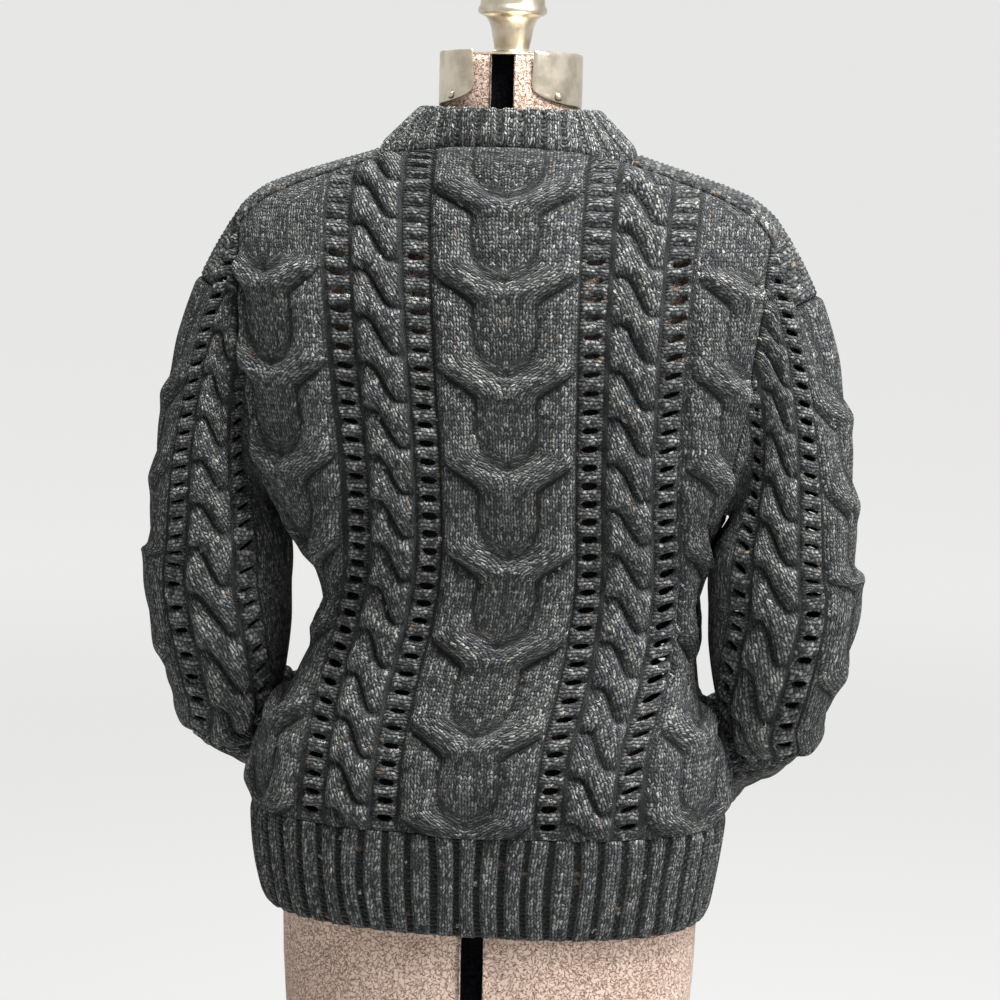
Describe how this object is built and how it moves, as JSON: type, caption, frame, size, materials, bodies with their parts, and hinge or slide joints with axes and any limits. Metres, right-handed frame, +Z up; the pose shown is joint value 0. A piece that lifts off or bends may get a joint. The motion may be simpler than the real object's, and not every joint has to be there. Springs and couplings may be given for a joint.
{
  "type": "cable knit sweater on dress form",
  "caption": "Hip length cable knit pullover with saddle shoulders, rope and horseshoe cables and ladder lace, worn by a limbless dress form on a pole stand.",
  "frame": {"origin": "centre of the stand's foot, on the floor", "axes": "+Z up; the wearer's front faces +Y and the back faces -Y; the wearer's right sleeve is at +X"},
  "size_m": [0.5656, 0.4219, 1.4962],
  "materials": {
    "charcoal_tweed_yarn": "matt tweed wool",
    "boucle_cover": "matt looped cover",
    "nickel_plate": "worn nickel",
    "dark_painted_iron": "satin"
  },
  "bodies": {
    "root": {"back": "charcoal_tweed_yarn", "front": "charcoal_tweed_yarn", "hem_back": "charcoal_tweed_yarn", "hem_front": "charcoal_tweed_yarn", "neckband": "charcoal_tweed_yarn", "shoulder_strap_right": "charcoal_tweed_yarn", "shoulder_strap_left": "charcoal_tweed_yarn", "sleeve_right_rear": "charcoal_tweed_yarn", "sleeve_right_fore": "charcoal_tweed_yarn", "sleeve_left_rear": "charcoal_tweed_yarn", "sleeve_left_fore": "charcoal_tweed_yarn", "cuff_right": "charcoal_tweed_yarn", "cuff_left": "charcoal_tweed_yarn", "form_body": "boucle_cover", "neck_cap": "nickel_plate", "top_knob": "nickel_plate", "neck_plate_right": "nickel_plate", "neck_plate_left": "nickel_plate", "rivet_right_rear": "nickel_plate", "rivet_right_fore": "nickel_plate", "rivet_left_rear": "nickel_plate", "rivet_left_fore": "nickel_plate", "stand_pole": "dark_painted_iron", "stand_base": "dark_painted_iron"}
  },
  "joints": []
}
